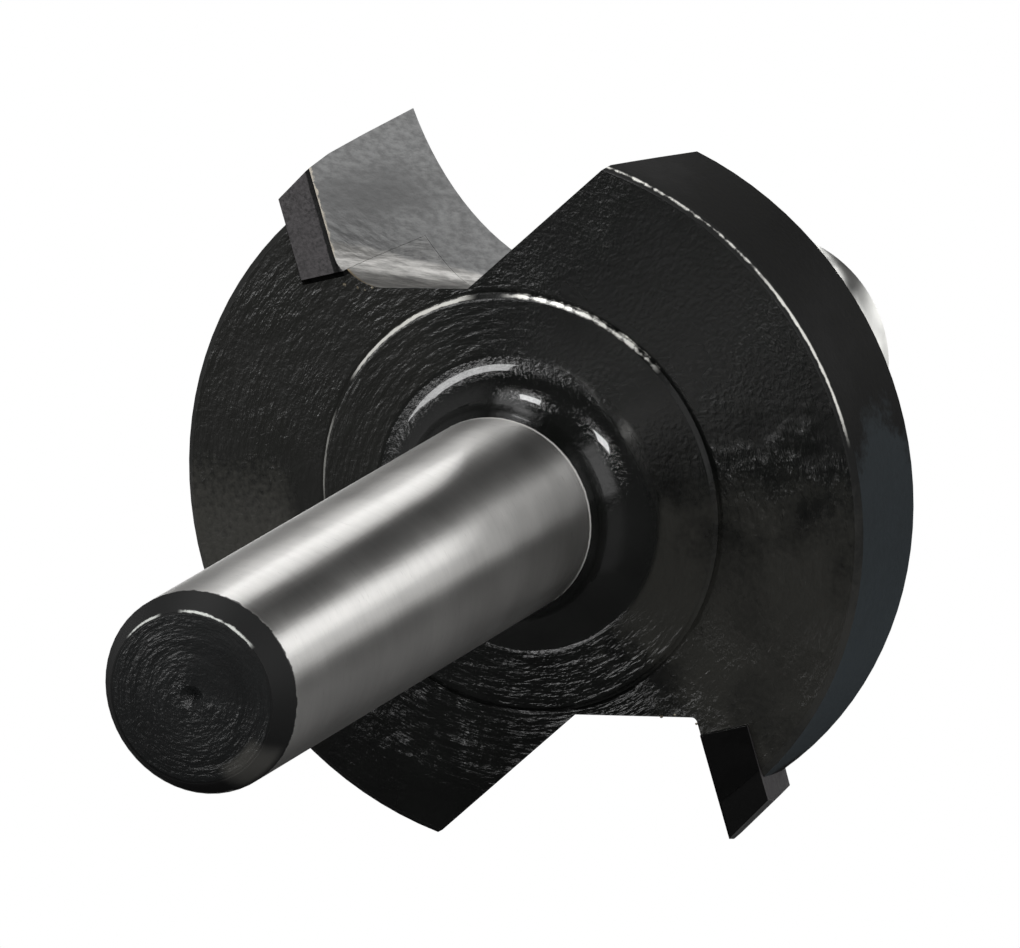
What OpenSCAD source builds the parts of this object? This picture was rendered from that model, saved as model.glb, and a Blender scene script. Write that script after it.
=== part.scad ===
// Two-flute rounding-over router bit with a ball-bearing guide.
// The tool is drawn along its own axis, shank end at zero and cutting head above it.
// It is then laid down as it comes to rest: on the shank's end and across one open gullet.

/* [Shank] */
// Diameter of the ground shank
shank_d = 12.7; // [12:0.1:14]
// Length from the shank's end to the front face of the head
shank_l = 50.8; // [40:0.2:70]
// Length of the chamfer on the shank's end
shank_chamfer_l = 1.4; // [0.8:0.1:2]
// Width of the chamfer on the shank's end
shank_chamfer_w = 0.95; // [0.5:0.05:1.5]
// Diameter of the turning centre left in the shank's end
centre_d = 1.6; // [1:0.1:2.4]
// Radius of the cove where the shank runs into the head
cove_r = 3.1; // [2:0.1:4]

/* [Head] */
// Diameter of the raised boss round the shank
boss_d = 27; // [24:0.2:27]
// Height of the boss above the front face
boss_h = 0.5; // [0.3:0.05:1]
// Broken edge of the boss
boss_edge = 0.25; // [0.1:0.05:0.3]
// Broken edge of the rim
rim_edge = 0.4; // [0.2:0.05:0.8]
// Set-back of the rim behind the cutting edges
setback = 2; // [1.5:0.05:2.5]
// Set-back of the body behind the cutting edges along the radius
arc_setback = 1.3; // [0.8:0.05:1.6]

/* [Cutting edges] */
// Cutting diameter
cut_d = 50.1; // [48:0.1:52]
// Radius of the rounding-over profile
round_r = 19.05; // [18:0.05:20]
// Length from the front face to the end of the radius
cut_l = 28.7; // [27:0.1:32]
// Straight run of the edge past the end of the radius
run_out = 1.2; // [0.6:0.1:2]
// Hook angle of the rake face at the tip
hook_a = 17.8; // [14:0.2:20]
// Slant of the rake face to the tool's axis
shear_a = 17.5; // [12:0.5:20]
// Relief angle behind the cutting edge, at the rim
relief_a = 12; // [6:0.5:14]
// Relief angle behind the cutting edge, towards the shank
end_relief_a = 10; // [5:0.5:12]

/* [Carbide tips] */
// Thickness of the first tip
carbide_t_1 = 3.2; // [2.4:0.05:3.4]
// Thickness of the second tip
carbide_t_2 = 2.45; // [2:0.05:3]
// Width of a tip at the front face
carbide_w = 6.9; // [6:0.1:8]
// Width of a tip along the radius
carbide_strip = 5.2; // [4:0.1:6]
// Front corner taken off the tip, across
tip_corner_w = 0.14; // [0.05:0.01:0.3]
// Front corner taken off the tip, along the edge
tip_corner_l = 1.6; // [1:0.1:3]
// Height of a tip above the front face
carbide_proud = 0.5; // [0.1:0.05:0.8]
// Broken front edge of the rake face
carbide_edge = 0.22; // [0.1:0.01:0.3]
// Joint of braze between a tip and its seat
braze = 0.02; // [0.01:0.01:0.08]
// Open groove round the second tip where its seat meets the front face; paint fills the first one's
seat_groove = 0.4; // [0.2:0.05:0.6]

/* [Gullets] */
// Distance of the gullet's inner corner from the axis, along the rake face
gullet_root = 15.7; // [15.4:0.1:17]
// Width of the gullet's floor at the front face
floor_w = 8.25; // [7:0.05:9]
// Lean of the floor across the gullet
floor_lean = 12.4; // [8:0.2:16]
// Slope of the floor towards the axis
floor_slope = 21; // [18:0.5:23]
// Radius between the rake face and the floor of the first gullet
gullet_r_1 = 0.3; // [0.2:0.1:3.5]
// Radius between the rake face and the floor of the second gullet
gullet_r_2 = 2.5; // [0.4:0.1:3.5]
// Direction of the heel wall, from the rake face
heel_a = 64; // [58:1:70]
// Slope of the heel wall away from the gullet
heel_slope = 14.6; // [10:0.2:18]
// Width of the wheel track ground along the rake face
track_w = 4.5; // [4:0.1:6]

/* [Guide bearing] */
// Outside diameter of the bearing, which is also where the radius ends
bearing_d = 15.875; // [15.8:0.025:16.2]
// Bore of the bearing
bearing_bore = 6.35; // [6:0.05:6.4]
// Width of the bearing
bearing_w = 4.978; // [4.9:0.002:5.6]
// Diameter of a ball
ball_d = 2.381; // [2.2:0.01:2.5]
// Number of balls
ball_count = 8; // [6:1:9]
// Pitch diameter of the balls
pitch_d = 11.1; // [11:0.05:11.3]
// Chamfer of the rings
ring_edge = 0.3; // [0.1:0.05:0.4]
// Thickness of the shields
shield_t = 0.22; // [0.15:0.01:0.3]
// Depth of a shield below the bearing's face
shield_in = 0.25; // [0.15:0.01:0.3]
// Thickness of the cage's sheet
cage_t = 0.2; // [0.15:0.01:0.25]
// Diameter of the cage's rivets
rivet_d = 0.55; // [0.4:0.05:0.7]

/* [Pilot and screw] */
// Diameter of the collar that carries the spacer
collar_d = 9; // [8.4:0.1:9.4]
// Length of the collar
collar_l = 3.2; // [2:0.1:5]
// Thickness of the spacer washer
spacer_t = 1; // [0.6:0.1:2]
// Outside diameter of the spacer and of the retaining washer
washer_d = 9; // [8.4:0.1:9.4]
// Thickness of the retaining washer
washer_t = 0.8; // [0.5:0.1:1.2]
// Thread diameter of the retaining screw
screw_d = 4; // [3:0.5:4]
// Length of the screw under its head
screw_l = 12; // [8:1:14]
// Diameter of the screw's head
screw_head_d = 7; // [6:0.1:7.5]
// Height of the screw's head
screw_head_h = 4; // [3:0.1:5]
// Broken edge of the screw's head
screw_edge = 0.3; // [0.1:0.05:0.5]
// Width across the flats of the hexagon socket
hex_w = 3; // [2:0.1:3.5]
// Depth of the hexagon socket
hex_depth = 2; // [1.5:0.1:2.5]

/* [Fits] */
// Radial clearance of the bearing and washers on the pilot
pilot_fit = 0.015; // [0.01:0.005:0.05]
// Distance of the pilot's end below the bearing's outer face
pilot_short = 0.15; // [0.1:0.05:0.3]
// Clearance between the balls and the raceways
race_fit = 0.02; // [0.01:0.005:0.04]
// Clearance between the balls and the cage
cage_fit = 0.05; // [0.03:0.01:0.1]
// Gap between a shield and the inner ring
shield_fit = 0.12; // [0.08:0.01:0.25]
// Radial clearance of the screw in its hole
screw_fit = 0.03; // [0.02:0.01:0.1]
// Radial clearance of the screw in the retaining washer
washer_fit = 0.15; // [0.1:0.05:0.3]

/* [Hidden] */
$fn = 96;
eps = 0.01;
far = 60;

// Radii and stations along the tool's axis
shank_r = shank_d / 2;
cut_r = cut_d / 2;
body_r = cut_r - setback;
bearing_r = bearing_d / 2;
front_z = shank_l;
boss_z = front_z - boss_h;
cove_z = boss_z - cove_r;
arc_r = bearing_r + round_r;
arc_z = front_z + cut_l;
neck_land = 0.8;
neck_r = bearing_r - arc_setback;
neck_z = arc_z + run_out + neck_land;
collar_z = neck_z + (neck_r - collar_d / 2);
seat_z = collar_z + collar_l;
bearing_z = seat_z + spacer_t;
washer_z = bearing_z + bearing_w;
head_z = washer_z + washer_t;
tool_l = head_z + screw_head_h;

// Pilot stub, a little shorter than what it carries, so that the screw clamps the bearing
stub_r = bearing_bore / 2 - pilot_fit;
stub_end = washer_z - pilot_short;
stub_edge = 0.2;

// Rake face: a plane beside the axis, slanted to it
rake_y = (cut_r - tip_corner_w) * sin(hook_a);
tip_x = (cut_r - tip_corner_w) * cos(hook_a);
carbide_x = tip_x - carbide_w;
strip_r = round_r + carbide_strip;
flank_a = hook_a + relief_a;

// Gullet corners in the plane of the front face
floor_end = [gullet_root - floor_w * sin(floor_lean), floor_w * cos(floor_lean) - rake_y];
floor_run = atan((sin(floor_lean) * cos(floor_slope)
    - cos(floor_lean) * sin(shear_a) * sin(floor_slope)) / (cos(floor_lean) * cos(shear_a)));
cut_below = 20;
cut_run = 70;

// Height of a tip's blank above the rake face, before the wheel takes it down with the gullet
blank_over = 1;

// Raceways and half sections of the bearing
ball_r = ball_d / 2;
pitch_r = pitch_d / 2;
groove_r = ball_r + race_fit;
land = 0.72 * ball_r;
inner_land_r = pitch_r - land;
outer_land_r = pitch_r + land;
shield_seat_r = outer_land_r + 0.35;

// Rest pose: the tip and the heel of one gullet touch the surface together with the shank's end
heel_dir = [cos(heel_a), sin(heel_a)];
heel_from = floor_end + rim_edge * tan(heel_slope) * [-sin(heel_a), cos(heel_a)];
heel_reach = sqrt(pow(heel_from * heel_dir, 2) - heel_from * heel_from + body_r * body_r)
    - heel_from * heel_dir;
heel_touch = heel_from + heel_reach * heel_dir;
tip_y = -carbide_proud * tan(shear_a) - rake_y;
tip_touch = [sqrt(pow(edge_r(-carbide_proud), 2) - tip_y * tip_y), tip_y];
chord = tip_touch - heel_touch;
rest_tilt = atan(rest_slope(4));
rest_roll = 180 - down_a(tan(rest_tilt));
rest_z = shank_r * cos(rest_tilt) - shank_chamfer_l * sin(rest_tilt);
y_low = -(shank_r - shank_chamfer_w) * sin(rest_tilt);
y_high = tool_l * cos(rest_tilt) + (screw_head_d / 2 - screw_edge) * sin(rest_tilt);
rest_y = -(y_low + y_high) / 2;

// Direction that points down, for a given slope of the tool's axis
function down_a(slope) = atan2(chord[1], chord[0])
    + acos(-(carbide_proud + rim_edge) * slope / norm(chord));

// Slope of the tool's axis at rest, found by repeated steps
function rest_slope(steps) = steps == 0 ? 0.3
    : let (a = down_a(rest_slope(steps - 1)))
        (tip_touch * [cos(a), sin(a)] - shank_r) / (front_z - carbide_proud - shank_chamfer_l);

black = [0.09, 0.09, 0.09];
steel = [0.72, 0.72, 0.71];
tungsten = [0.42, 0.41, 0.42];

// Lays the tool from its upright drawing position down on the surface
module at_rest() {
    translate([0, rest_y, rest_z])
        rotate([rest_tilt, 0, 0])
            rotate([-90, -90, 0])
                rotate([0, 0, rest_roll])
                    children();
}

// Frame of the rake face of one flute: y = 0 is the face and +y is the open gullet
module on_rake() {
    translate([0, -rake_y, front_z])
        rotate([-shear_a, 0, 0])
            children();
}

// Turned profile of shank, cove, boss, head and pilot, out to the body's set-back
module body_profile() {
    polygon([
        [0, 0],
        [shank_r - shank_chamfer_w, 0],
        [shank_r, shank_chamfer_l],
        [shank_r, cove_z + eps],
        [0, cove_z + eps]
    ]);
    difference() {
        translate([0, cove_z])
            square([shank_r + cove_r, cove_r + eps]);
        translate([shank_r + cove_r, cove_z])
            circle(r = cove_r);
    }
    polygon([
        [0, boss_z],
        [boss_d / 2 - boss_edge, boss_z],
        [boss_d / 2, boss_z + boss_edge],
        [boss_d / 2, front_z + eps],
        [0, front_z + eps]
    ]);
    difference() {
        polygon([
            [0, front_z],
            [body_r - rim_edge, front_z],
            [body_r, front_z + rim_edge],
            [body_r, arc_z],
            [0, arc_z]
        ]);
        translate([arc_r, arc_z])
            circle(r = round_r + arc_setback);
    }
    polygon([
        [0, arc_z - eps],
        [neck_r, arc_z - eps],
        [neck_r, neck_z],
        [collar_d / 2, collar_z],
        [collar_d / 2, seat_z],
        [stub_r, seat_z],
        [stub_r, stub_end - stub_edge],
        [stub_r - stub_edge, stub_end],
        [0, stub_end]
    ]);
}

// Section of the gullet square to its run: rake face along x, floor across it, round corner
module gullet_section(width, corner_r) {
    corner = 90 + floor_run;
    tangent = corner_r / tan(corner / 2);
    reach = corner_r / sin(corner / 2);
    polygon([
        [tangent, 0],
        [far, 0],
        [far, width],
        [-width * tan(floor_run), width],
        tangent * [cos(corner), sin(corner)]
    ]);
    translate(reach * [cos(corner / 2), sin(corner / 2)])
        circle(r = corner_r);
}

// Track of the wheel along the rake face, its floor sloping towards the axis
module rake_track(width, corner_r) {
    on_rake()
        translate([gullet_root, 0, 0])
            rotate([0, -floor_slope, 0])
                translate([0, 0, -cut_below])
                    linear_extrude(height = cut_run)
                        gullet_section(width, corner_r);
}

// Everything on the gullet's side of the heel wall
module heel_side() {
    translate([floor_end[0], floor_end[1], front_z])
        rotate([0, 0, heel_a])
            rotate([-heel_slope, 0, 0])
                translate([-far, -far, -cut_below])
                    cube([2 * far, far, cut_run]);
}

module gullet(corner_r) {
    intersection() {
        union() {
            intersection() {
                rake_track(far / 2, corner_r);
                heel_side();
            }
            rake_track(track_w, corner_r);
        }
        cylinder(r = far, h = neck_z);
    }
}

// Radius of the cutting edge at a height above the front face
function corner_off(z) = tip_corner_w * max(0, 1 - z / tip_corner_l);
function round_at(z) = arc_r - sqrt(max(0, pow(round_r, 2) - pow(min(cut_l - z, round_r), 2)));
function edge_r(z) = z < cut_l ? min(cut_r - corner_off(z), round_at(z)) : bearing_r;

// The same point on the rake face, before the outline is turned by the relief angles
function on_edge(z) =
    let (x = sqrt(pow(edge_r(z), 2) - pow(z * tan(shear_a) - rake_y, 2)))
        [x * cos(flank_a), (z / cos(shear_a) - x * sin(flank_a) * tan(end_relief_a)) * cos(end_relief_a)];

corner_z = cut_l - sqrt(pow(round_r, 2) - pow(arc_r - cut_r, 2));
corner_a = asin((arc_r - cut_r) / round_r);
arc_steps = 28;
arc_zs = [for (i = [0:arc_steps]) cut_l - round_r * cos(corner_a + i * (90 - corner_a) / arc_steps)];
edge_below = 3;

// Outline of the cutting edge: straight rim, rounding-over radius, short run past it
module edge_outline() {
    edge_end = on_edge(cut_l + run_out);
    polygon(concat(
        [[-far, on_edge(-edge_below)[1]], on_edge(-edge_below)],
        [on_edge(tip_corner_l), on_edge(corner_z / 2)],
        [for (z = arc_zs) on_edge(z)],
        [edge_end, [-far, edge_end[1]]]
    ));
}

// Flat blank of a tip in the plane of the rake face, grown all round by a gap
module blank_outline(gap) {
    blank_steps = 24;
    blank_r = strip_r + gap;
    left = carbide_x - gap;
    arc_h = cut_l / cos(shear_a);
    end_h = (cut_l + run_out) / cos(shear_a) + gap;
    sweep = acos((arc_r - left) / blank_r);
    polygon(concat(
        [[far / 2, end_h], [arc_r - blank_r, end_h]],
        [for (i = [0:blank_steps])
            let (a = i * sweep / blank_steps)
                [arc_r - blank_r * cos(a), arc_h - blank_r * sin(a)]],
        [[left, -edge_below], [far / 2, -edge_below]]
    ));
}

// Seat milled for a tip
module tip_seat(thickness) {
    on_rake()
        rotate([90, 0, 0])
            translate([0, 0, -blank_over])
                linear_extrude(height = thickness + braze + blank_over)
                    blank_outline(braze);
}

// Open groove round the second tip's seat at the front face
module seat_mouth() {
    mouth_deep = 0.6;
    intersection() {
        on_rake()
            translate([carbide_x - seat_groove, -carbide_t_2 - seat_groove, -edge_below])
                cube([far / 2, carbide_t_2 + seat_groove, 2 * edge_below]);
        cylinder(r = far, h = front_z + mouth_deep);
    }
}

module cutter_body() {
    color(black)
        difference() {
            rotate_extrude($fn = 180)
                body_profile();
            translate([0, 0, -eps])
                cylinder(d1 = centre_d, d2 = centre_d / 16, h = centre_d / 3);
            gullet(gullet_r_1);
            tip_seat(carbide_t_1);
            rotate([0, 0, 180]) {
                gullet(gullet_r_2);
                tip_seat(carbide_t_2);
                seat_mouth();
            }
            translate([0, 0, head_z - screw_l - screw_d / 4])
                cylinder(d = screw_d + 2 * screw_fit, h = screw_l + screw_d);
        }
}

// A brazed tip: the blank, ground with the gullet and then back behind the edge by the relief angles
module carbide_tip(thickness, corner_r) {
    difference() {
        intersection() {
            on_rake()
                rotate([90, 0, 0])
                    translate([0, 0, -blank_over])
                        linear_extrude(height = thickness + blank_over)
                            blank_outline(0);
            on_rake()
                rotate([end_relief_a, 0, -flank_a])
                    rotate([90, 0, 0])
                        translate([0, 0, -far / 2])
                            linear_extrude(height = far)
                                edge_outline();
            translate([0, 0, front_z - carbide_proud])
                cylinder(r = far, h = far);
        }
        gullet(corner_r);
        translate([0, -rake_y - carbide_proud * tan(shear_a), front_z - carbide_proud])
            rotate([45, 0, 0])
                cube([far, carbide_edge, carbide_edge], center = true);
    }
}

module carbide_tip_1() {
    color(tungsten)
        carbide_tip(carbide_t_1, gullet_r_1);
}

module carbide_tip_2() {
    color(tungsten)
        rotate([0, 0, 180])
            carbide_tip(carbide_t_2, gullet_r_2);
}

module ring(r_in, r_out, z, h) {
    translate([0, 0, z])
        difference() {
            cylinder(r = r_out, h = h);
            translate([0, 0, -eps])
                cylinder(r = r_in, h = h + 2 * eps);
        }
}

module spacer_washer() {
    color(steel)
        ring(bearing_bore / 2, washer_d / 2, seat_z, spacer_t);
}

module retaining_washer() {
    color(steel)
        ring(screw_d / 2 + washer_fit, washer_d / 2, washer_z, washer_t);
}

// Origin at the middle of the bearing's width
module in_bearing() {
    translate([0, 0, bearing_z + bearing_w / 2])
        children();
}

module bearing_inner_ring() {
    half = bearing_w / 2;
    color(steel)
        in_bearing()
            rotate_extrude()
                difference() {
                    polygon([
                        [bearing_bore / 2 + ring_edge, -half],
                        [inner_land_r, -half],
                        [inner_land_r, half],
                        [bearing_bore / 2 + ring_edge, half],
                        [bearing_bore / 2, half - ring_edge],
                        [bearing_bore / 2, ring_edge - half]
                    ]);
                    translate([pitch_r, 0])
                        circle(r = groove_r);
                }
}

// Outer ring, with its raceway and a step at each face that holds a shield
module bearing_outer_ring() {
    half = bearing_w / 2;
    step = half - shield_in - shield_t;
    color(steel)
        in_bearing()
            rotate_extrude()
                difference() {
                    polygon([
                        [outer_land_r, -step],
                        [shield_seat_r, -step],
                        [shield_seat_r, -half],
                        [bearing_r - ring_edge, -half],
                        [bearing_r, ring_edge - half],
                        [bearing_r, half - ring_edge],
                        [bearing_r - ring_edge, half],
                        [shield_seat_r, half],
                        [shield_seat_r, step],
                        [outer_land_r, step]
                    ]);
                    translate([pitch_r, 0])
                        circle(r = groove_r);
                }
}

// Ball places, counted round the bearing; a half number lies between two balls
module on_pitch(i) {
    rotate([0, 0, i * 360 / ball_count])
        translate([pitch_r, 0, 0])
            children();
}

module ball(i) {
    color(steel)
        in_bearing()
            on_pitch(i)
                sphere(d = ball_d, $fn = 32);
}

// Half of the pressed cage: a flat ring at mid width with a cup over each ball
module cage_half(side) {
    cup_r = ball_r + cage_fit;
    ring_in = pitch_r - 0.3 * ball_d;
    ring_out = pitch_r + 0.3 * ball_d;
    color(steel)
        in_bearing()
            mirror([0, 0, side])
                difference() {
                    intersection() {
                        union() {
                            cylinder(r = ring_out, h = cage_t);
                            for (i = [1:ball_count])
                                on_pitch(i)
                                    sphere(r = cup_r + cage_t, $fn = 32);
                        }
                        ring(ring_in, ring_out, 0, bearing_w / 2);
                    }
                    for (i = [1:ball_count])
                        on_pitch(i)
                            sphere(r = cup_r, $fn = 32);
                    for (i = [1:ball_count])
                        on_pitch(i + 0.5)
                            translate([0, 0, -eps])
                                cylinder(d = rivet_d, h = 2 * cage_t, $fn = 24);
                }
}

// Rivets through both halves, with a flat head at each end
module cage_rivets() {
    rivet_h = 0.12;
    color(steel)
        in_bearing()
            for (i = [1:ball_count])
                on_pitch(i + 0.5) {
                    translate([0, 0, -cage_t])
                        cylinder(d = rivet_d, h = 2 * cage_t, $fn = 24);
                    for (side = [0, 1])
                        mirror([0, 0, side])
                            translate([0, 0, cage_t])
                                cylinder(r1 = 0.8 * rivet_d, r2 = 0.6 * rivet_d, h = rivet_h, $fn = 24);
                }
}

// Pressed shield, held in the outer ring and just clear of the inner one
module shield(side) {
    color(steel)
        in_bearing()
            mirror([0, 0, side])
                ring(inner_land_r + shield_fit, shield_seat_r,
                    bearing_w / 2 - shield_in - shield_t, shield_t);
}

// Socket-head screw that clamps the washer and the bearing's inner ring
module retaining_screw() {
    color(black)
        difference() {
            union() {
                translate([0, 0, head_z - screw_l])
                    cylinder(d = screw_d, h = screw_l + eps);
                translate([0, 0, head_z])
                    cylinder(d = screw_head_d, h = screw_head_h - screw_edge);
                translate([0, 0, tool_l - screw_edge])
                    cylinder(d1 = screw_head_d, d2 = screw_head_d - 2 * screw_edge, h = screw_edge);
            }
            translate([0, 0, tool_l - hex_depth])
                cylinder(d = hex_w / cos(30), h = hex_depth + eps, $fn = 6);
        }
}

at_rest() cutter_body();
at_rest() carbide_tip_1();
at_rest() carbide_tip_2();
at_rest() spacer_washer();
at_rest() bearing_inner_ring();
at_rest() bearing_outer_ring();
at_rest() cage_half(1);  // cage_front
at_rest() cage_half(0);  // cage_back
at_rest() cage_rivets();
at_rest() shield(1);  // shield_front
at_rest() shield(0);  // shield_back
at_rest() retaining_washer();
at_rest() retaining_screw();
for (i = [1:ball_count])
    at_rest() ball(i);
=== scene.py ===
"""Looks of a two-flute rounding-over router bit with a ball-bearing guide.

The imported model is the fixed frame. Each sub-assembly below dresses its own CAD nodes and adds the small pieces
that the solids leave out. Lengths are in millimetres in the tool's own frame, whose third axis runs from the
shank's end to the screw, and RestPose carries them into the row frame in metres.
"""

from __future__ import annotations

import logging
import math
import random
from dataclasses import dataclass, field
from enum import Enum

import bmesh
import bpy
from mathutils import Matrix, Vector
from mathutils.bvhtree import BVHTree

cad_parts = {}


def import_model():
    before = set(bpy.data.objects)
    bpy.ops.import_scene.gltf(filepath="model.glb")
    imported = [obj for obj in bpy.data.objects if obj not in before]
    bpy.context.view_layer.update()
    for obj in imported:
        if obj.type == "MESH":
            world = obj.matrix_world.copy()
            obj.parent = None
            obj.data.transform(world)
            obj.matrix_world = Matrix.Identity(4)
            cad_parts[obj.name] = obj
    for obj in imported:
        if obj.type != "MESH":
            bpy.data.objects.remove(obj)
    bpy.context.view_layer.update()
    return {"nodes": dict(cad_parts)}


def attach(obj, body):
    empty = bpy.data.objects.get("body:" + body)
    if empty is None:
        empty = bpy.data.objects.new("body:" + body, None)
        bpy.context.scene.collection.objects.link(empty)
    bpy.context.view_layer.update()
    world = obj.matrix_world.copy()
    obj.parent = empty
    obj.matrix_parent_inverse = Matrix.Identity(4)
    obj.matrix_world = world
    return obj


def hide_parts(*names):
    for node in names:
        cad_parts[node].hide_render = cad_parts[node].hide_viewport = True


LOG = logging.getLogger("router_bit")
MM = 0.001
Colour = tuple[float, float, float]
Socket = bpy.types.NodeSocket
Piece = bpy.types.Object


# Measures of the tool


@dataclass(frozen=True)
class RestPose:
    """Where the tool lies at rest, as in the part's source."""

    tilt: float = 17.133
    roll: float = 167.71
    y: float = -46.3178
    z: float = 5.65578

    def rotation(self) -> Matrix:
        """Turn from the tool's frame to the row frame."""
        turn = Matrix.Rotation(math.radians(self.tilt), 3, "X")
        turn = turn @ Matrix.Rotation(math.radians(-90), 3, "Y")
        turn = turn @ Matrix.Rotation(math.radians(-90), 3, "X")
        return turn @ Matrix.Rotation(math.radians(self.roll), 3, "Z")

    def to_row(self, point: Vector) -> Vector:
        """Point of the tool, in millimetres, carried into the row frame in metres."""
        return (self.rotation() @ point + Vector((0, self.y, self.z))) * MM

    def to_tool(self, point: Vector) -> Vector:
        """Point of the row frame, in metres, carried into the tool's frame in millimetres."""
        return self.rotation().transposed() @ (point / MM - Vector((0, self.y, self.z)))


@dataclass(frozen=True)
class ToolSizes:
    """Measures of the tool in millimetres and degrees, with the names that the part's source gives them."""

    shank_r: float = 6.35
    shank_chamfer_l: float = 1.4
    cove_z: float = 47.2
    boss_z: float = 50.3
    boss_r: float = 13.5
    front_z: float = 50.8
    body_r: float = 23.05
    rake_y: float = 7.615
    shear_a: float = 17.5
    carbide_proud: float = 0.5
    gullet_root: float = 15.7
    floor_lean: float = 12.4
    floor_slope: float = 21.0
    neck_z: float = 81.5
    collar_r: float = 4.5
    head_z: float = 93.6155
    screw_r: float = 2.0
    screw_l: float = 12.0
    screw_head_r: float = 3.5
    screw_head_h: float = 4.0
    screw_edge: float = 0.3
    hex_w: float = 3.0
    hex_depth: float = 2.0

    def floor_run(self) -> float:
        """Direction of the gullet's floor in the section square to its run, in radians."""
        lean, slope, shear = (math.radians(a) for a in (self.floor_lean, self.floor_slope, self.shear_a))
        across = math.sin(lean) * math.cos(slope) - math.cos(lean) * math.sin(shear) * math.sin(slope)
        return math.atan(across / (math.cos(lean) * math.cos(shear)))

    def in_section(self, point: Vector) -> Vector:
        """Point of the first flute in the frame of its gullet: x and y across, z along the wheel's run."""
        local = point - Vector((0, -self.rake_y, self.front_z))
        local = Matrix.Rotation(math.radians(self.shear_a), 3, "X") @ local
        local -= Vector((self.gullet_root, 0, 0))
        return Matrix.Rotation(math.radians(self.floor_slope), 3, "Y") @ local


class Flute(Enum):
    """The two flutes: turn about the tool's axis, radius in the gullet's corner, thickness of the tip."""

    FIRST = (0.0, 0.3, 3.2)
    SECOND = (180.0, 2.5, 2.45)

    @property
    def turn(self) -> Matrix:
        """Turn from the first flute to this one."""
        return Matrix.Rotation(math.radians(self.value[0]), 3, "Z")

    @property
    def corner_r(self) -> float:
        """Radius between the rake face and the floor."""
        return self.value[1]

    @property
    def tip_thickness(self) -> float:
        """Thickness of the tip."""
        return self.value[2]


POSE = RestPose()
SIZES = ToolSizes()


# Node trees


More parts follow.
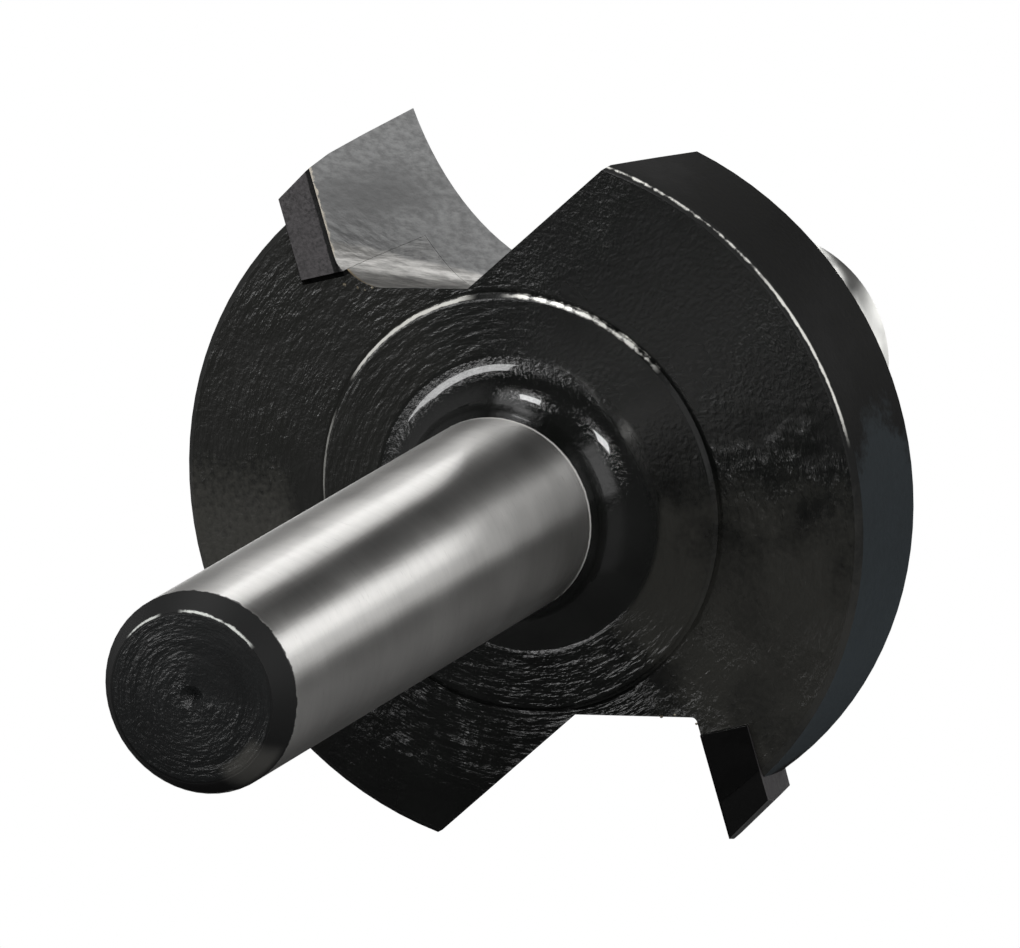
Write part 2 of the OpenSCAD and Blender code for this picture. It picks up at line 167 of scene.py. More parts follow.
class Tree:
    """A node tree, with short calls that place nodes and join them."""

    def __init__(self, tree: bpy.types.NodeTree) -> None:
        """Keeps the tree that the calls work on."""
        self.tree = tree

    def node(self, kind: str, settings: dict | None = None, inputs: dict | None = None) -> bpy.types.Node:
        """Places a node.

        Args:
            kind: Type of the node, without the leading ShaderNode.
            settings: Properties of the node.
            inputs: Sockets by name or number, each with a constant or the socket that feeds it.

        Returns:
            The node.
        """
        made = self.tree.nodes.new("ShaderNode" + kind)
        for name, value in (settings or {}).items():
            setattr(made, name, value)
        for name, value in (inputs or {}).items():
            self.feed(made.inputs[name], value)
        return made

    def feed(self, socket: Socket, value: object) -> None:
        """Joins a socket to the one that feeds it, or sets its constant."""
        if isinstance(value, Socket):
            self.tree.links.new(value, socket)
        elif socket.type == "RGBA" and len(value) == 3:
            socket.default_value = (*value, 1.0)
        else:
            socket.default_value = value

    def math(self, operation: str, *values: object) -> Socket:
        """Result of one Math operation on up to three values."""
        made = self.node("Math", {"operation": operation}, dict(enumerate(values)))
        return made.outputs[0]

    def times(self, first: object, second: object) -> Socket:
        """Product of two numbers."""
        return self.math("MULTIPLY", first, second)

    def plus(self, first: object, second: object) -> Socket:
        """Sum of two numbers."""
        return self.math("ADD", first, second)

    def minus(self, first: object, second: object) -> Socket:
        """First number less the second."""
        return self.math("SUBTRACT", first, second)

    def most(self, *values: object) -> Socket:
        """Largest of two or more numbers."""
        largest = values[0]
        for value in values[1:]:
            largest = self.math("MAXIMUM", largest, value)
        return largest

    def vector_math(self, operation: str, *values: object) -> Socket:
        """Vector result of one Vector Math operation."""
        made = self.node("VectorMath", {"operation": operation}, dict(enumerate(values)))
        return made.outputs[0]

    def scaled(self, vector: object, factor: object) -> Socket:
        """Vector times a number."""
        return self.node("VectorMath", {"operation": "SCALE"}, {0: vector, "Scale": factor}).outputs[0]

    def step(
        self, value: object, low: float, high: float, to_low: float = 0.0, to_high: float = 1.0
    ) -> Socket:
        """Smooth step of a value.

        Args:
            value: The value.
            low: Where the step starts.
            high: Where it ends; it may lie below low for a falling step.
            to_low: Result before the step.
            to_high: Result after it.

        Returns:
            The socket of the result.
        """
        if high < low:
            low, high, to_low, to_high = high, low, to_high, to_low
        settings = {"interpolation_type": "SMOOTHSTEP"}
        inputs = {0: value, 1: low, 2: high, 3: to_low, 4: to_high}
        return self.node("MapRange", settings, inputs).outputs[0]

    def band(self, value: object, low: float, high: float, soft: float) -> Socket:
        """Mask that is 1 where a value lies between low and high, with soft edges."""
        rising = self.step(value, low - soft, low + soft)
        return self.math("MULTIPLY", rising, self.step(value, high + soft, high - soft))

    def mix(self, factor: object, first: object, second: object) -> Socket:
        """Mix of two colours."""
        inputs = {0: factor, 6: first, 7: second}
        return self.node("Mix", {"data_type": "RGBA"}, inputs).outputs[2]

    def blend(self, factor: object, first: object, second: object) -> Socket:
        """Mix of two numbers."""
        return self.node("Mix", {"data_type": "FLOAT"}, {0: factor, 2: first, 3: second}).outputs[0]

    def noise(self, vector: object, scale: float, detail: float = 3.0, rough: float = 0.55) -> Socket:
        """Noise between 0 and 1.

        Args:
            vector: Where the noise is read.
            scale: Cells in a unit of the vector.
            detail: Number of finer layers.
            rough: Strength of each finer layer.

        Returns:
            The socket of the result.
        """
        inputs = {"Vector": vector, "Scale": scale, "Detail": detail, "Roughness": rough}
        return self.node("TexNoise", None, inputs).outputs[0]

    def join(self, x: object, y: object, z: object) -> Socket:
        """Vector from its three parts."""
        return self.node("CombineXYZ", None, {0: x, 1: y, 2: z}).outputs[0]

    def parts(self, vector: object) -> list[Socket]:
        """The three parts of a vector."""
        return list(self.node("SeparateXYZ", None, {0: vector}).outputs)

    def group(self, effect: "Effect", **inputs: object) -> dict[str, Socket]:
        """Places an effect, with spaces in its input names written as underlines, and gives its outputs by name."""
        made = self.node("Group", {"node_tree": effect.tree()})
        for name, value in inputs.items():
            self.feed(made.inputs[name.replace("_", " ")], value)
        return {socket.name: socket for socket in made.outputs}


def shades(colour: Colour, *factors: float) -> list[Colour]:
    """A colour made darker or lighter by each factor."""
    return [tuple(min(1.0, c * factor) for c in colour) for factor in factors]


class Effect:
    """A shader node group that several finishes use. It is built the first time that one asks for it."""

    name = "effect"
    takes: dict[str, str] = {}
    gives: dict[str, str] = {}

    @classmethod
    def tree(cls) -> bpy.types.NodeTree:
        """The group's tree, built once."""
        found = bpy.data.node_groups.get(cls.name)
        if found:
            return found
        made = bpy.data.node_groups.new(cls.name, "ShaderNodeTree")
        for side, sockets in (("INPUT", cls.takes), ("OUTPUT", cls.gives)):
            for name, kind in sockets.items():
                made.interface.new_socket(name=name, in_out=side, socket_type="NodeSocket" + kind)
        tree = Tree(made)
        given = made.nodes.new("NodeGroupInput")
        results = cls.build(tree, {socket.name: socket for socket in given.outputs if socket.name})
        out = made.nodes.new("NodeGroupOutput")
        for name, socket in results.items():
            tree.feed(out.inputs[name], socket)
        return made

    @classmethod
    def build(cls, tree: Tree, given: dict[str, Socket]) -> dict[str, Socket]:
        """Places the effect's nodes.

        Args:
            tree: The group's tree.
            given: The group's inputs by name.

        Returns:
            The sockets that feed the group's outputs, by name.
        """
        raise NotImplementedError


class ToolSpace(Effect):
    """Place on the tool: its point in millimetres, distance from the axis, station along it and bearing round it."""

    name = "tool_space"
    gives = {"Point": "Vector", "Radius": "Float", "Station": "Float", "Round": "Vector"}

    @classmethod
    def build(cls, tree: Tree, given: dict) -> dict:
        """Reads the object's own coordinates, which ride with each piece, and turns them into the tool's frame."""
        turn = POSE.rotation().to_euler("XYZ")
        place = Vector((0, POSE.y, POSE.z)) * MM
        inputs = {0: tree.node("TexCoord").outputs["Object"], 1: place, 2: turn, 3: (MM, MM, MM)}
        point = tree.node("Mapping", {"vector_type": "TEXTURE"}, inputs).outputs[0]
        x, y, z = tree.parts(point)
        radius = tree.math("SQRT", tree.plus(tree.times(x, x), tree.times(y, y)))
        length = tree.most(radius, 0.05)
        bearing = tree.join(tree.math("DIVIDE", x, length), tree.math("DIVIDE", y, length), 0.0)
        return {"Point": point, "Radius": radius, "Station": z, "Round": bearing}


class TurnedRings(Effect):
    """Rings left by turning, broken up round the tool."""

    name = "turned_rings"
    takes = {"Round": "Vector", "Across": "Float", "Pitch": "Float", "Breakup": "Float"}
    gives = {"Height": "Float", "Tone": "Float"}

    @classmethod
    def build(cls, tree: Tree, given: dict) -> dict:
        """Reads noise that runs long round the tool and short across the rings."""
        across = tree.times(given["Across"], given["Pitch"])
        place = tree.vector_math("ADD", tree.scaled(given["Round"], given["Breakup"]), tree.join(0.0, 0.0, across))
        fine = tree.noise(place, 1.0, 3.0, 0.6)
        broad = tree.noise(tree.scaled(place, 0.23), 1.0, 2.0, 0.5)
        return {"Height": fine, "Tone": broad}


class Mottle(Effect):
    """Soft patches and fine specks of a painted, ground or handled surface."""

    name = "mottle"
    takes = {"Point": "Vector", "Patch Size": "Float", "Speck Size": "Float"}
    gives = {"Patches": "Float", "Specks": "Float"}

    @classmethod
    def build(cls, tree: Tree, given: dict) -> dict:
        """Reads two noises, each at the size asked for, in millimetres."""
        patches = tree.noise(tree.scaled(given["Point"], tree.math("DIVIDE", 1.0, given["Patch Size"])), 1.0, 3.0)
        specks = tree.noise(tree.scaled(given["Point"], tree.math("DIVIDE", 1.0, given["Speck Size"])), 1.0, 4.0, 0.6)
        return {"Patches": tree.step(patches, 0.32, 0.68), "Specks": specks}


class EdgeWearAndHighlight(Effect):
    """A broken line of a given width along an edge: worn paint, and painted highlights on the edges of the head and
    the shank's end.
    """

    name = "edge_wear_and_highlight"
    takes = {"Point": "Vector", "Distance": "Float", "Width": "Float", "Cover": "Float"}
    gives = {"Wear And Highlight": "Float"}

    @classmethod
    def build(cls, tree: Tree, given: dict) -> dict:
        """Fades with the distance from the edge and breaks up along it."""
        near = tree.minus(1.0, tree.math("DIVIDE", tree.math("ABSOLUTE", given["Distance"]), given["Width"]))
        broken_up = tree.plus(tree.noise(given["Point"], 1.6, 4.0, 0.65), given["Cover"])
        wear_and_highlight = tree.times(tree.most(near, 0.0), broken_up)
        return {"Wear And Highlight": tree.step(wear_and_highlight, 0.28, 0.5)}


class GulletSpace(Effect):
    """Place in the section of the nearer gullet, as ToolSizes.in_section gives it, and the brighter strip along it."""

    name = "gullet_space"
    takes = {"Point": "Vector"}
    gives = {"Section": "Vector", "Strip": "Float"}

    @classmethod
    def build(cls, tree: Tree, given: dict) -> dict:
        """Folds the two flutes together, turns the point into the section and bounds the strip by the floor."""
        x, y, z = tree.parts(given["Point"])
        side = tree.math("SIGN", x)
        folded = tree.join(tree.times(x, side), tree.times(y, side), z)
        local = tree.vector_math("SUBTRACT", folded, Vector((0, -SIZES.rake_y, SIZES.front_z)))
        shear, slope = math.radians(SIZES.shear_a), math.radians(SIZES.floor_slope)
        local = tree.node("VectorRotate", {"rotation_type": "X_AXIS"}, {0: local, "Angle": shear}).outputs[0]
        local = tree.vector_math("SUBTRACT", local, Vector((SIZES.gullet_root, 0, 0)))
        section = tree.node("VectorRotate", {"rotation_type": "Y_AXIS"}, {0: local, "Angle": slope}).outputs[0]
        across, _, along = tree.parts(section)
        border = tree.plus(across, tree.times(along, 0.075))
        wander = tree.minus(tree.noise(section, 0.45, 2.0), 0.5)
        border = tree.plus(border, tree.times(wander, 0.7))
        return {"Section": section, "Strip": tree.step(border, 2.95, 2.6)}


class WheelMarks(Effect):
    """Scratches of a grinding wheel, long in one direction."""

    name = "wheel_marks"
    takes = {"Across": "Vector", "Along": "Float", "Fineness": "Float", "Curl": "Float"}
    gives = {"Height": "Float", "Tone": "Float"}

    @classmethod
    def build(cls, tree: Tree, given: dict) -> dict:
        """Reads noise that is stretched along the marks and bent by a slow curl."""
        slow = tree.node("TexNoise", None, {"Vector": given["Across"], "Scale": 0.35, "Detail": 2.0}).outputs[1]
        bent = tree.vector_math("ADD", given["Across"], tree.scaled(slow, given["Curl"]))
        place = tree.vector_math("ADD", tree.scaled(bent, given["Fineness"]), tree.join(0.0, 0.0, given["Along"]))
        fine = tree.noise(place, 1.0, 4.0, 0.65)
        tone = tree.noise(tree.scaled(place, 0.3), 1.0, 3.0, 0.6)
        return {"Height": fine, "Tone": tone}


# Finishes


@dataclass(frozen=True)
class Finish:
    """A surface finish: what is the same all over it, and how its material is built."""

    name: str
    colour: Colour
    roughness: float
    metallic: float = 0.0
    specular: float = 0.5
    stretch: float = 0.0

    def material(self) -> bpy.types.Material:
        """The finish's material, built once."""
        found = bpy.data.materials.get(self.name)
        if found:
            return found
        made = bpy.data.materials.new(self.name)
        made.use_nodes = True
        made.diffuse_color = (*self.colour, 1.0)
        tree = Tree(made.node_tree)
        shader = made.node_tree.nodes["Principled BSDF"]
        tree.feed(shader.inputs["Base Color"], self.colour)
        shader.inputs["Roughness"].default_value = self.roughness
        shader.inputs["Metallic"].default_value = self.metallic
        shader.inputs["Specular IOR Level"].default_value = self.specular
        shader.inputs["Anisotropic"].default_value = self.stretch
        for name, value in self.surface(tree, tree.group(ToolSpace)).items():
            tree.feed(shader.inputs[name], value)
        return made

    def surface(self, tree: Tree, place: dict[str, Socket]) -> dict[str, Socket]:
        """Places the nodes of what varies over the surface.

        Args:
            tree: The material's tree.
            place: Outputs of the tool space group.

        Returns:
            The sockets that feed the shader, by the name of its input.
        """
        raise NotImplementedError

    @staticmethod
    def bump(tree: Tree, height: object, depth: float, strength: float = 1.0) -> Socket:
        """Normal from a height, with the height's depth in millimetres."""
        inputs = {"Height": height, "Distance": depth * MM, "Strength": strength}
        return tree.node("Bump", None, inputs).outputs[0]


@dataclass(frozen=True)
class Sector:
    """Part of the way round the tool: bearing of its middle, half its width, strength, and softness of its borders."""

    middle: float
    half: float
    height: float = 1.0
    soft: float = 4.0

    def mask(self, tree: Tree, turned: object) -> Socket:
        """Mask of the sector, from the bearing round the tool as a unit vector."""
        aim = math.radians(self.middle)
        inputs = {0: turned, 1: (math.cos(aim), math.sin(aim), 0.0)}
        facing = tree.node("VectorMath", {"operation": "DOT_PRODUCT"}, inputs).outputs["Value"]
        outer, inner = (math.cos(math.radians(max(self.half + d, 0.0))) for d in (self.soft, -self.soft))
        return tree.step(facing, outer, inner, 0.0, self.height)


def masked(tree: Tree, turned: object, *sectors: Sector) -> Socket:
    """Mask of several sectors together."""
    return tree.most(*(sector.mask(tree, turned) for sector in sectors))


def wear_and_highlight(tree: Tree, point: object, distance: object, width: float, cover: float) -> Socket:
    """Mask of a broken line at a distance from an edge: edge wear, and painted edge highlights."""
    return tree.group(EdgeWearAndHighlight, Point=point, Distance=distance, Width=width, Cover=cover)["Wear And Highlight"]


@dataclass(frozen=True)
class HeadPaint(Finish):
    """Black gloss paint on the head: ripples over the turned face, rings on the boss, wet gloss in the cove, lighter
    grey in a few sectors of the face, and painted highlights with some wear along the edges of the boss and the rim.
    """

    # Colour of the painted edge highlights and the wear on the boss and the rim.
    wear_and_highlight: Colour = (0.85, 0.84, 0.79)
    # Lighter grey for a few sectors of the face.
    lighter_grey: Colour = (0.043, 0.042, 0.037)
    ripple: float = 1.0

    CALM = (Sector(232, 31, 0.85, 14), Sector(90, 13, 0.6, 12))
    LOW_RINGS = Sector(18, 40, 1.0, 8)
    RIPPLED = Sector(289, 20, 1.5, 12)
    FAINT = Sector(14, 24, 1.0, 8)
    BOSS_CALM = Sector(232, 30, 1.0, 20)
    BOSS_RINGS = Sector(0, 80, 1.0, 20)
    # Sectors of the painted edge highlights and glints on the boss and the rim.
    BOSS_HIGHLIGHT = (Sector(161, 20), Sector(114, 11, 0.3))
    BOSS_CHIPS_AND_GLINTS = Sector(217, 22)
    RIM_HIGHLIGHT = Sector(256, 13)
    RIM_CHIPS_AND_GLINTS = Sector(218, 36)
    LIGHTER_EDGE_SECTOR = Sector(84, 18, 0.9, 12)
    LIGHTER_SECTORS = (Sector(311, 21, 0.6, 14), Sector(132, 40, 0.2, 16))
    COVE_SATIN = Sector(145, 30, 0.17, 14)

    def surface(self, tree: Tree, place: dict) -> dict:
        """Varies the paint with its place on the head."""
        radius, station, point, turned = (place[name] for name in ("Radius", "Station", "Point", "Round"))
        cove = tree.times(tree.step(radius, 9.75, 9.35), tree.step(station, SIZES.cove_z - 0.4, SIZES.cove_z))
        boss = tree.band(radius, 9.6, SIZES.boss_r - 0.25, 0.15)
        face = tree.times(tree.step(radius, 13.5, 13.8), tree.step(radius, 23.4, 22.6))
        rings = tree.group(TurnedRings, Round=turned, Across=radius, Pitch=1.75, Breakup=5.0)
        ripples = tree.group(TurnedRings, Round=turned, Across=radius, Pitch=2.2, Breakup=12.0)
        spots = tree.group(Mottle, Point=point, Patch_Size=5.0, Speck_Size=0.36)
        uneven = tree.join(spots["Patches"], spots["Specks"], 0.5)
        drift = tree.scaled(tree.vector_math("SUBTRACT", uneven, Vector((0.5, 0.5, 0.5))), 0.17)
        loose = tree.vector_math("ADD", turned, drift)
        low = tree.times(self.LOW_RINGS.mask(tree, loose), tree.step(radius, 21.0, 18.5))
        force = tree.plus(tree.times(low, 2.2), self.RIPPLED.mask(tree, loose))
        force = tree.plus(force, tree.blend(self.FAINT.mask(tree, loose), 0.6, 0.06))
        uneven_skin = tree.blend(spots["Patches"], 0.3, 1.0)
        rough_skin = tree.times(tree.blend(masked(tree, loose, *self.CALM), force, 0.06), uneven_skin)
        rough_skin = tree.times(rough_skin, self.ripple)
        wrinkles = tree.blend(low, ripples["Height"], rings["Height"])
        height = tree.times(wrinkles, tree.times(face, rough_skin))
        boss = tree.times(boss, tree.blend(self.BOSS_CALM.mask(tree, loose), 1.0, 0.15))
        boss = tree.times(boss, tree.blend(self.BOSS_RINGS.mask(tree, loose), 0.5, 0.95))
        height = tree.plus(height, tree.times(rings["Height"], boss))
        skin = tree.blend(cove, tree.blend(face, 0.16, 0.2), 0.35)
        height = tree.plus(height, tree.times(spots["Specks"], skin))
        height = tree.plus(height, tree.times(ripples["Height"], tree.times(cove, 0.25)))
        bare_and_highlight = tree.times(self.bare_and_highlight(tree, radius, point, turned), self.front(tree, station))
        tone = tree.mix(spots["Patches"], *shades(self.colour, 0.75, 1.5))
        # Lighter grey in a few sectors of the face.
        lighter_patches = tree.times(self.LIGHTER_EDGE_SECTOR.mask(tree, loose), tree.step(radius, 14.5, 17.0))
        lighter_patches = tree.most(lighter_patches, masked(tree, loose, *self.LIGHTER_SECTORS))
        lighter_patches = tree.times(lighter_patches, tree.step(radius, 9.4, 9.9, 0.0, 1.0 if self.ripple else 0.0))
        tone = tree.mix(lighter_patches, tone, self.lighter_grey)
        rough = tree.blend(face, tree.blend(cove, self.roughness, 0.09), tree.blend(spots["Patches"], 0.28, 0.2))
        rough = tree.most(rough, tree.times(cove, self.COVE_SATIN.mask(tree, turned)))
        rough = tree.blend(tree.step(radius, 22.6, 22.75), rough, 0.7)
        return {
            # Pale where the edges carry painted highlights and wear.
            "Base Color": tree.mix(bare_and_highlight, tone, self.wear_and_highlight),
            "Metallic": tree.times(bare_and_highlight, 0.25),
            "Roughness": tree.blend(bare_and_highlight, rough, 0.3),
            "Coat Weight": cove,
            "Normal": self.bump(tree, height, 0.15),
        }

    def bare_and_highlight(self, tree: Tree, radius: object, point: object, turned: object) -> Socket:
        """Mask of the painted highlights along the edges of the boss and the rim, drawn as lines and chips of bare
        metal, with some real wear.
        """
        edge = tree.minus(radius, SIZES.boss_r - 0.1)
        rim = tree.minus(SIZES.body_r - 0.16, radius)
        return tree.most(
            tree.times(wear_and_highlight(tree, point, edge, 0.26, 0.16), masked(tree, turned, *self.BOSS_HIGHLIGHT)),
            tree.times(wear_and_highlight(tree, point, edge, 0.34, -0.03), self.BOSS_CHIPS_AND_GLINTS.mask(tree, turned)),
            tree.times(wear_and_highlight(tree, point, rim, 0.17, 0.12), self.RIM_HIGHLIGHT.mask(tree, turned)),
            tree.times(wear_and_highlight(tree, point, rim, 0.24, -0.08), self.RIM_CHIPS_AND_GLINTS.mask(tree, turned)),
        )

    @staticmethod
    def front(tree: Tree, station: object) -> Socket:
        """Mask of the head's front, where its edges get the painted highlights and wear."""
        return tree.step(station, SIZES.front_z + 0.34, SIZES.front_z + 0.26)


@dataclass(frozen=True)
class RimPaint(Finish):
    """The same paint on the rim's side, sprayed thin and dry, with a blue-grey painted reflection on one part and
    painted shade on another.
    """

    painted_reflection: Colour = (0.034, 0.043, 0.049)

    REFLECTION_SECTOR = Sector(-55, 33)
    REFLECTION_THIN = Sector(-80, 20, 1.0, 16)
    DARK = Sector(252, 16, 1.0, 12)

    def surface(self, tree: Tree, place: dict) -> dict:
        """Draws the dry spray, the painted reflection with its ragged border, and the painted shade."""
        spots = tree.group(Mottle, Point=place["Point"], Patch_Size=5.0, Speck_Size=0.4)
        drift = tree.scaled(tree.join(spots["Patches"], spots["Specks"], 0.0), 0.14)
        turned = tree.vector_math("ADD", place["Round"], drift)
        # Blue-grey painted reflection on part of the rim's side.
        reflection_mask = tree.times(self.REFLECTION_SECTOR.mask(tree, turned), tree.step(place["Radius"], 21.5, 22.8))
        reflection_mask = tree.times(reflection_mask, tree.blend(self.REFLECTION_THIN.mask(tree, turned), 1.0, 0.64))
        dark, light, shadow = shades(self.colour, 0.8, 1.3, 0.3)
        # The DARK sector is painted shade on the rim's side.
        tone = tree.mix(self.DARK.mask(tree, turned), tree.mix(spots["Patches"], dark, light), shadow)
        return {
            "Base Color": tree.mix(reflection_mask, tone, self.painted_reflection),
            "Roughness": tree.blend(spots["Patches"], self.roughness, self.roughness + 0.1),
            "Normal": self.bump(tree, spots["Specks"], 0.022),
        }


@dataclass(frozen=True)
class EndPaint(Finish):
    """Black paint over the turned end of the shank, rubbed grey on one side, with a painted highlight along the upper
    part of its edge and bare wear along the lower part.
    """

    rubbed: Colour = (0.06, 0.058, 0.052)
    # Colour of the painted edge highlight and the bare wear.
    bare_and_highlight: Colour = (0.78, 0.8, 0.76)

    SMOOTH = Sector(245, 40, 1.0, 32)
    RUBBED = Sector(-26, 14, 1.0, 9)
    UPPER_EDGE_HIGHLIGHT = (Sector(160, 12), Sector(217, 26))
    BARE_EDGE = Sector(33, 35, 0.7)

    def surface(self, tree: Tree, place: dict) -> dict:
        """Draws the turning rings round the centre, the rubbed patch, the painted edge highlight and the bare edge."""
        radius, turned, point = place["Radius"], place["Round"], place["Point"]
        rings = tree.group(TurnedRings, Round=turned, Across=radius, Pitch=1.7, Breakup=1.6)
        spots = tree.group(Mottle, Point=point, Patch_Size=1.8, Speck_Size=0.3)
        flat = tree.step(radius, 5.35, 5.2)
        height = tree.plus(rings["Height"], tree.times(spots["Specks"], 0.3))
        height = tree.times(height, tree.blend(flat, 0.12, 1.0))
        height = tree.times(height, tree.blend(self.SMOOTH.mask(tree, turned), 1.0, 0.4))
        rubbed = tree.times(self.RUBBED.mask(tree, turned), tree.band(radius, 4.5, 6.2, 0.2))
        dark, light, chamfer = shades(self.colour, 0.55, 1.6, 0.3)
        tone = tree.mix(flat, chamfer, tree.mix(rings["Tone"], dark, light))
        tone = tree.mix(tree.times(rubbed, 0.8), tone, self.rubbed)
        # Broken bright line on the upper part of the end face's edge: painted highlight.
        broken_up = wear_and_highlight(tree, point, tree.minus(radius, 5.4), 0.2, 0.03)
        thin = wear_and_highlight(tree, point, tree.minus(radius, SIZES.shank_r), 0.3, 0.04)
        bare_and_highlight = tree.times(broken_up, masked(tree, turned, *self.UPPER_EDGE_HIGHLIGHT))
        bare_and_highlight = tree.most(bare_and_highlight, tree.times(thin, self.BARE_EDGE.mask(tree, turned)))
        gloss = tree.blend(rings["Tone"], self.roughness - 0.06, self.roughness + 0.08)
        return {
            "Base Color": tree.mix(bare_and_highlight, tone, self.bare_and_highlight),
            "Metallic": tree.times(bare_and_highlight, 0.25),
            "Roughness": tree.blend(flat, 0.62, gloss),
            "Normal": self.bump(tree, height, 0.13),
        }


@dataclass(frozen=True)
class GroundShank(Finish):
    """Cylindrically ground steel: gloss drawn out along the shank, fine marks round it, paint run over its ends, and a
    painted highlight round its root.
    """

    paint: Colour = (0.004, 0.004, 0.004)
    root_highlight: Colour = (0.95, 0.94, 0.9)

    def surface(self, tree: Tree, place: dict) -> dict:
        """Draws the grinding grain, faint tarnish, the ragged borders of the paint and the painted highlight at the
        root.
        """
        station, point, turned = place["Station"], place["Point"], place["Round"]
        grain = tree.group(TurnedRings, Round=turned, Across=station, Pitch=7.0, Breakup=9.0)
        spots = tree.group(Mottle, Point=point, Patch_Size=7.0, Speck_Size=0.13)
        ragged = tree.times(tree.minus(tree.noise(point, 1.3, 4.0, 0.6), 0.5), 0.9)
        end = tree.step(tree.plus(station, ragged), SIZES.shank_chamfer_l + 0.2, SIZES.shank_chamfer_l + 0.08)
        near_root = tree.plus(station, tree.times(ragged, 0.2))
        painted = tree.most(end, tree.step(near_root, 47.06, 47.12))
        tone = tree.blend(0.35, grain["Tone"], spots["Patches"])
        dull, bright, fleck = shades(self.colour, 0.88, 1.1, 0.5)
        steel = tree.mix(tone, dull, bright)
        steel = tree.mix(tree.step(grain["Height"], 0.6, 0.74, 0.0, 0.3), steel, fleck)
        # Pale ring just below the root: painted highlight of the root's edge.
        line = tree.band(near_root, 46.86, 47.05, 0.05)
        steel = tree.mix(line, steel, self.root_highlight)
        axis = POSE.rotation() @ Vector((0, 0, 1))
        settings = {"vector_type": "VECTOR", "convert_from": "OBJECT", "convert_to": "WORLD"}
        return {
            "Base Color": tree.mix(painted, steel, self.paint),
            "Metallic": tree.times(tree.minus(1.0, painted), tree.blend(line, 1.0, 0.3)),
            "Roughness": tree.blend(spots["Patches"], self.roughness - 0.02, self.roughness + 0.03),
            "Normal": self.bump(tree, tree.plus(grain["Height"], spots["Specks"]), 0.006),
            "Tangent": tree.node("VectorTransform", settings, {0: axis}).outputs[0],
        }


@dataclass(frozen=True)
class GroundFace(Finish):
    """What the gullet's steel and the tip's rake face share: mottled grain and a brighter strip along the floor."""

    strip: Colour = (0.57, 0.56, 0.54)

    def grained(self, tree: Tree, gullet: dict) -> tuple[dict, dict, Socket]:
        """Draws the grain and the strip.

        Args:
            tree: The material's tree.
            gullet: Outputs of the gullet space group.

        Returns:
            Outputs of the mottle and of the wheel's marks along the strip, and the strip's colour.
        """
        x, y, along = tree.parts(gullet["Section"])
        run = tree.times(along, 0.4)
        marks = tree.group(WheelMarks, Across=tree.join(x, y, 0.0), Along=run, Fineness=3.0, Curl=1.3)
        drawn = tree.join(x, y, tree.times(along, 0.45))
        spots = tree.group(Mottle, Point=drawn, Patch_Size=3.6, Speck_Size=0.42)
        dull, pale = shades(self.strip, 0.6, 1.25)
        return spots, marks, tree.mix(tree.step(marks["Height"], 0.34, 0.66), dull, pale)


@dataclass(frozen=True)
class GulletSteel(GroundFace):
    """Bare steel where the wheel has cut the gullet: grey beside the tip, brighter strip along the floor."""

    heat: Colour = (0.5, 0.36, 0.17)

    def surface(self, tree: Tree, place: dict) -> dict:
        """Turns the point into the gullet's own section and draws the wheel's marks along it."""
        gullet = tree.group(GulletSpace, Point=place["Point"])
        spots, marks, bright = self.grained(tree, gullet)
        grey = tree.mix(tree.step(spots["Specks"], 0.32, 0.68), *shades(self.colour, 0.76, 1.24))
        tone = tree.mix(gullet["Strip"], grey, bright)
        near = tree.step(place["Radius"], SIZES.boss_r + 0.05, SIZES.boss_r - 0.05, SIZES.front_z, SIZES.boss_z)
        front = tree.step(tree.math("ABSOLUTE", tree.minus(place["Station"], near)), 0.3, 0.08)
        return {
            "Base Color": tree.mix(tree.times(front, 0.75), tone, self.heat),
            "Roughness": tree.blend(marks["Tone"], self.roughness - 0.06, self.roughness + 0.1),
            "Normal": self.bump(tree, marks["Height"], 0.03),
        }


@dataclass(frozen=True)
class GroundCarbide(GroundFace):
    """Ground carbide: close grey grain, slanting wheel marks, darker patches and a painted highlight along the front
    edge.
    """

    rake_edge_highlight: Colour = (0.8, 0.74, 0.64)
    slant: float = 18.0

    def surface(self, tree: Tree, place: dict) -> dict:
        """Draws the grain, the slanting marks and the patches in the plane of the rake face."""
        gullet = tree.group(GulletSpace, Point=place["Point"])
        x, y, along = tree.parts(gullet["Section"])
        settings, turn = {"rotation_type": "Y_AXIS"}, {0: gullet["Section"], "Angle": math.radians(self.slant)}
        u, v, w = tree.parts(tree.node("VectorRotate", settings, turn).outputs[0])
        marks = tree.group(
            WheelMarks, Across=tree.join(u, v, 0.0), Along=tree.times(w, 0.4), Fineness=2.2, Curl=0.8
        )
        spots, _, bright = self.grained(tree, gullet)
        low = tree.times(tree.step(along, 7.5, 0.5), tree.step(x, 6.5, 3.0))
        dark, light, groove, patch = shades(self.colour, 0.76, 1.24, 0.5, 0.6)
        tone = tree.mix(tree.step(spots["Specks"], 0.32, 0.68), dark, light)
        streak = tree.mix(tree.step(marks["Height"], 0.38, 0.62), groove, light)
        tone = tree.mix(tree.times(low, 0.7), tone, streak)
        patches = tree.times(tree.times(spots["Patches"], tree.band(x, 4.2, 8.2, 1.6)), 0.8)
        tone = tree.mix(patches, tone, patch)
        tone = tree.mix(gullet["Strip"], tone, bright)
        # Pale line along the rake face's front edge: painted highlight.
        from_end = tree.minus(place["Station"], SIZES.front_z - SIZES.carbide_proud)
        jagged = tree.times(tree.minus(tree.noise(place["Point"], 2.2, 4.0, 0.7), 0.5), 1.1)
        edge = tree.step(tree.plus(from_end, jagged), 0.34, 0.2)
        edge = tree.times(edge, tree.step(tree.math("ABSOLUTE", y), 0.06, 0.02))
        height = tree.plus(tree.times(marks["Height"], low), tree.times(spots["Specks"], 0.7))
        return {
            "Base Color": tree.mix(edge, tone, self.rake_edge_highlight),
            "Roughness": tree.blend(spots["Specks"], self.roughness - 0.08, self.roughness + 0.12),
            "Normal": self.bump(tree, height, 0.03),
        }


